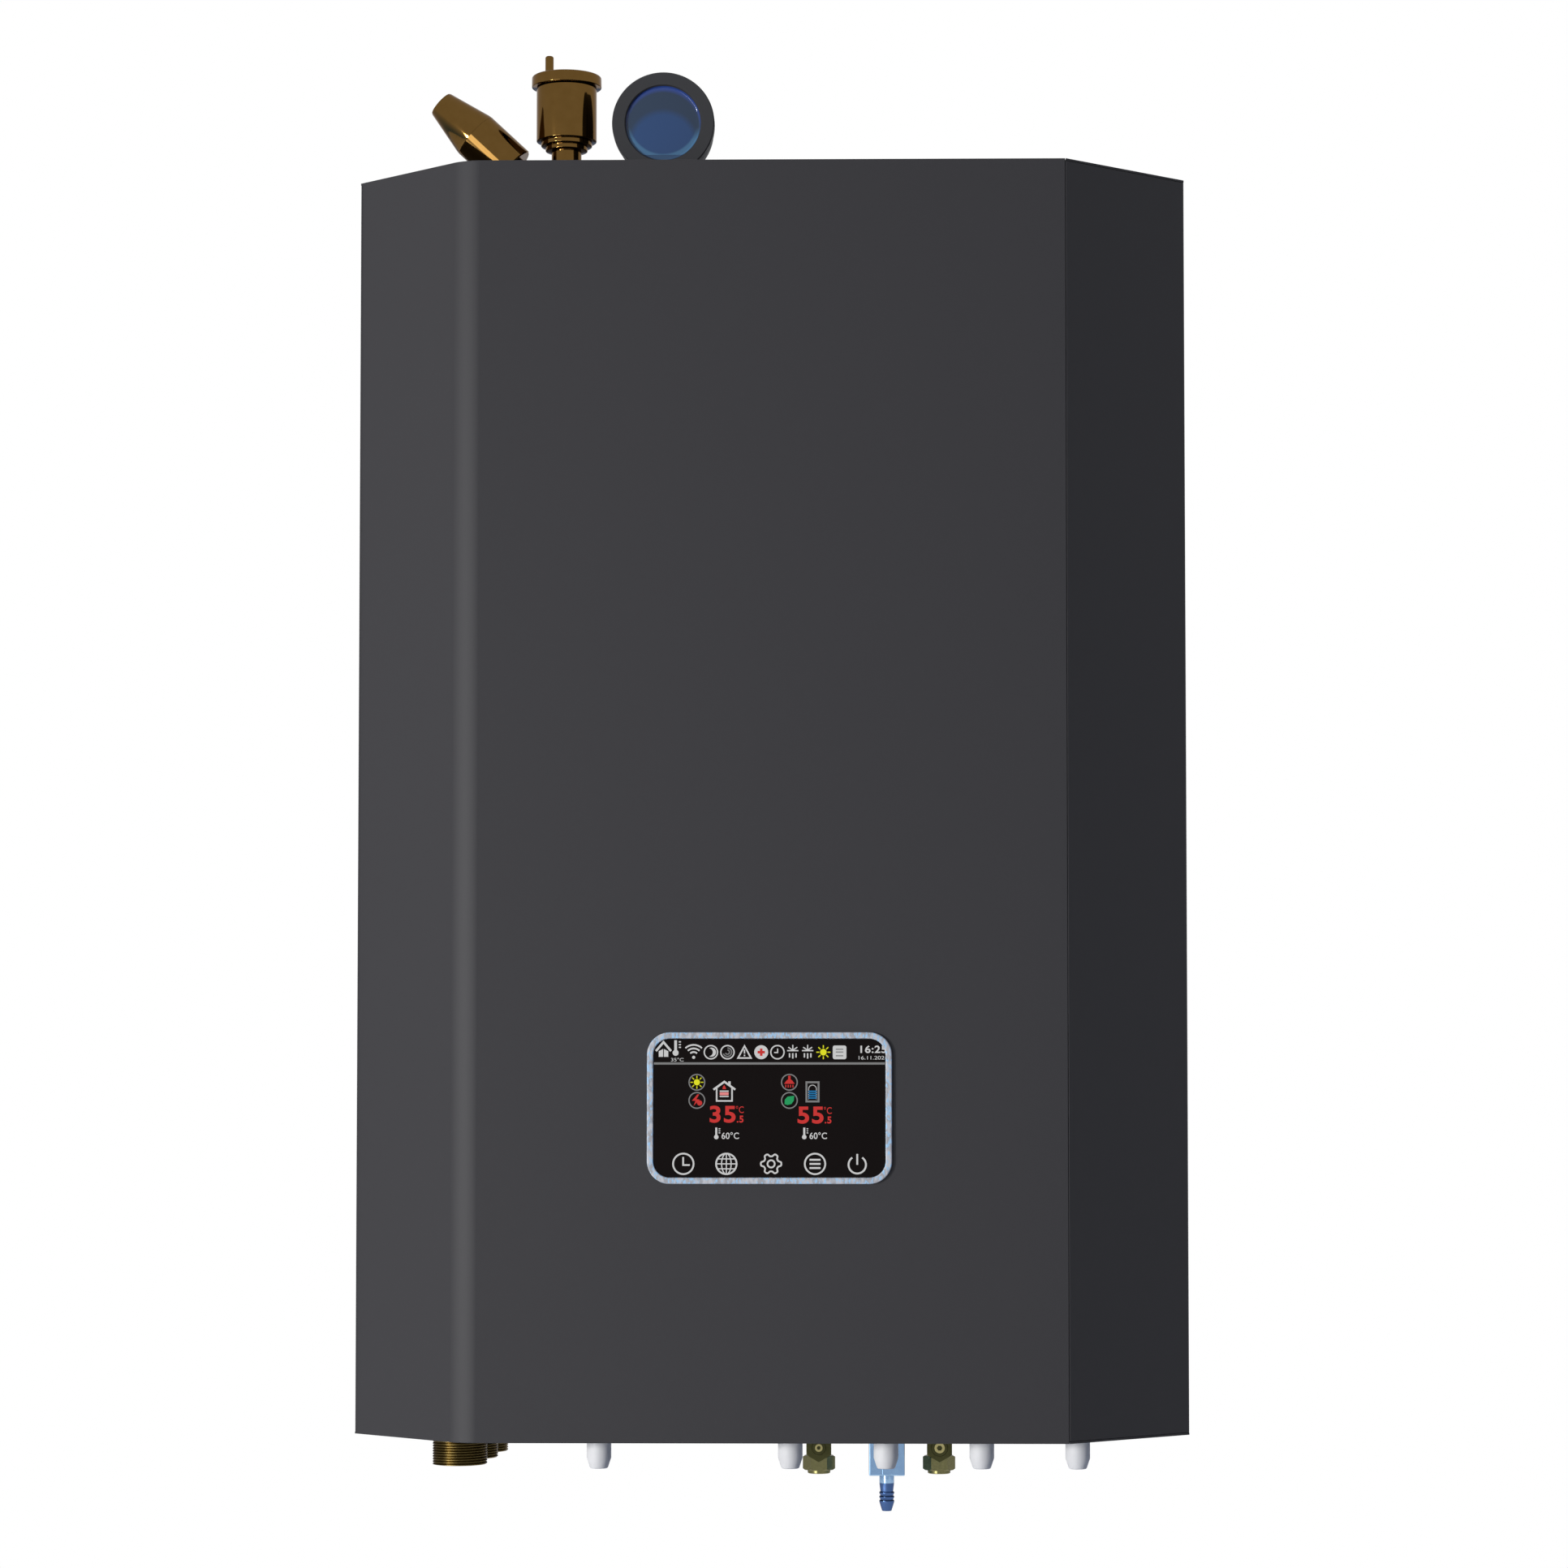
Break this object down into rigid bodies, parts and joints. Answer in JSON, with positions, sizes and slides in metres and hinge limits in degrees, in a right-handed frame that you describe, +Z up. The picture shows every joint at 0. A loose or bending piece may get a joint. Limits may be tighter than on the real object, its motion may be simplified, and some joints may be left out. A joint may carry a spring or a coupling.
{
  "type": "heat pump indoor unit",
  "caption": "Wall-hung indoor unit of a heat pump: folded grey casing with a touch screen, relief valve, air vent and gauge on top, pipe and cable connections below.",
  "frame": {"origin": "centre of the two wall bolts, on the surface of the wall", "axes": "+X to the right seen from the front, +Y into the wall, +Z up; the front faces -Y"},
  "size_m": [0.5, 0.2776, 0.8977],
  "materials": {
    "casing_paint": "fine matt powder coat",
    "screen_trim": "satin",
    "display_glass": "glossy black",
    "galvanised": "galvanised",
    "white_nylon": "matt",
    "fitting_brass": "polished",
    "valve_brass": "satin",
    "drain_metal": "polished",
    "gauge_plastic": "matt",
    "gauge_lens": "clear",
    "needle_paint": "matt black",
    "vessel_paint": "glossy red",
    "lever_plastic": "red",
    "stainless": "satin stainless steel",
    "pump_iron": "dark coated",
    "motor_paint": "dark coated",
    "actuator_plastic": "black",
    "copper": "copper, satin",
    "board": "green"
  },
  "bodies": {
    "unit": {"left_panel": "casing_paint", "right_panel": "casing_paint", "top_panel": "casing_paint", "bottom_panel": "casing_paint", "back_panel": "galvanised", "brackets": "galvanised", "cover_clips": "white_nylon", "wall_rail": "galvanised", "panel_screws": "galvanised", "supply_stub": "fitting_brass", "tank_stub": "fitting_brass", "return_stub": "fitting_brass", "cable_glands": "white_nylon", "gland_nuts": "white_nylon", "gas_valve": "valve_brass", "liquid_valve": "valve_brass", "flare_nuts": "valve_brass", "drain_block": "drain_metal", "hose_barb": "drain_metal", "safety_manifold": "fitting_brass", "relief_body": "fitting_brass", "vent_body": "fitting_brass", "vent_cap": "fitting_brass", "gauge_case": "gauge_plastic", "gauge_ring": "gauge_plastic", "gauge_glass": "gauge_lens", "expansion_vessel": "vessel_paint", "plate_exchanger": "stainless", "heater_tube": "stainless", "heater_element": "stainless", "pump_housing": "pump_iron", "pump_motor": "motor_paint", "diverter_body": "fitting_brass", "diverter_actuator": "actuator_plastic", "return_pipe": "copper", "exchanger_pipe": "copper", "heater_pipe": "copper", "manifold_pipe": "copper", "supply_pipe": "copper", "vessel_pipe": "copper", "drain_pipe": "copper", "gas_pipe": "copper", "liquid_pipe": "copper", "control_box": "galvanised", "control_lid": "galvanised", "main_board": "board"},
    "cover": {"front_cover": "casing_paint", "screen_frame": "screen_trim", "screen_glass": "display_glass"},
    "relief_cap": {"relief_knob": "fitting_brass"},
    "relief_seal": {"relief_disc": "stainless"},
    "bleeder": {"bleed_screw": "fitting_brass"},
    "float": {"vent_float": "white_nylon"},
    "needle": {"gauge_needle": "needle_paint"},
    "gas_key": {"gas_spindle": "valve_brass"},
    "liquid_key": {"liquid_spindle": "valve_brass"},
    "drain_tap": {"drain_key": "drain_metal"},
    "rotor": {"pump_rotor": "stainless"},
    "diverter": {"diverter_ball": "stainless", "diverter_lever": "lever_plastic"}
  },
  "joints": [
    {"name": "cover_pull", "type": "slide", "parent": "unit", "child": "cover", "axis": [0, -1, 0], "range_m": [0, 0.08]},
    {"name": "relief_turn", "type": "hinge", "parent": "unit", "child": "relief_cap", "pos_m": [-0.1287, -0.1575, 0.081], "axis": [-0.7314, 0, 0.682], "range_deg": [0, 90]},
    {"name": "relief_lift", "type": "slide", "parent": "unit", "child": "relief_seal", "axis": [-0.7314, 0, 0.682], "range_m": [0, 0.0025]},
    {"name": "bleed_turn", "type": "hinge", "parent": "unit", "child": "bleeder", "pos_m": [-0.1395, -0.1575, 0.175], "axis": [0, 0, 1], "range_deg": [0, 270]},
    {"name": "float_rise", "type": "slide", "parent": "unit", "child": "float", "axis": [0, 0, 1], "range_m": [0, 0.005]},
    {"name": "needle_turn", "type": "hinge", "parent": "unit", "child": "needle", "pos_m": [-0.0675, -0.1725, 0.136], "axis": [0, 1, 0], "range_deg": [0, 270], "stiffness_Nm_per_rad": 0.00005, "springref_deg": -2.86},
    {"name": "gas_turn", "type": "hinge", "parent": "unit", "child": "gas_key", "pos_m": [0.0282, -0.19, -0.6746], "axis": [0, 1, 0], "range_deg": [0, 90]},
    {"name": "liquid_turn", "type": "hinge", "parent": "unit", "child": "liquid_key", "pos_m": [0.101, -0.19, -0.6746], "axis": [0, 1, 0], "range_deg": [0, 90]},
    {"name": "drain_turn", "type": "hinge", "parent": "unit", "child": "drain_tap", "pos_m": [0.0693, -0.185, -0.6885], "axis": [0, 1, 0], "range_deg": [0, 90]},
    {"name": "rotor_spin", "type": "hinge", "parent": "unit", "child": "rotor", "pos_m": [-0.115, -0.14, -0.345], "axis": [0, 1, 0], "continuous": true},
    {"name": "diverter_turn", "type": "hinge", "parent": "unit", "child": "diverter", "pos_m": [-0.1885, -0.1575, -0.565], "axis": [-1, 0, 0], "range_deg": [0, 90]}
  ],
  "couplings": [
    {"joint": "relief_lift", "follows": "relief_turn", "m_per_rad": 0.00159}
  ]
}
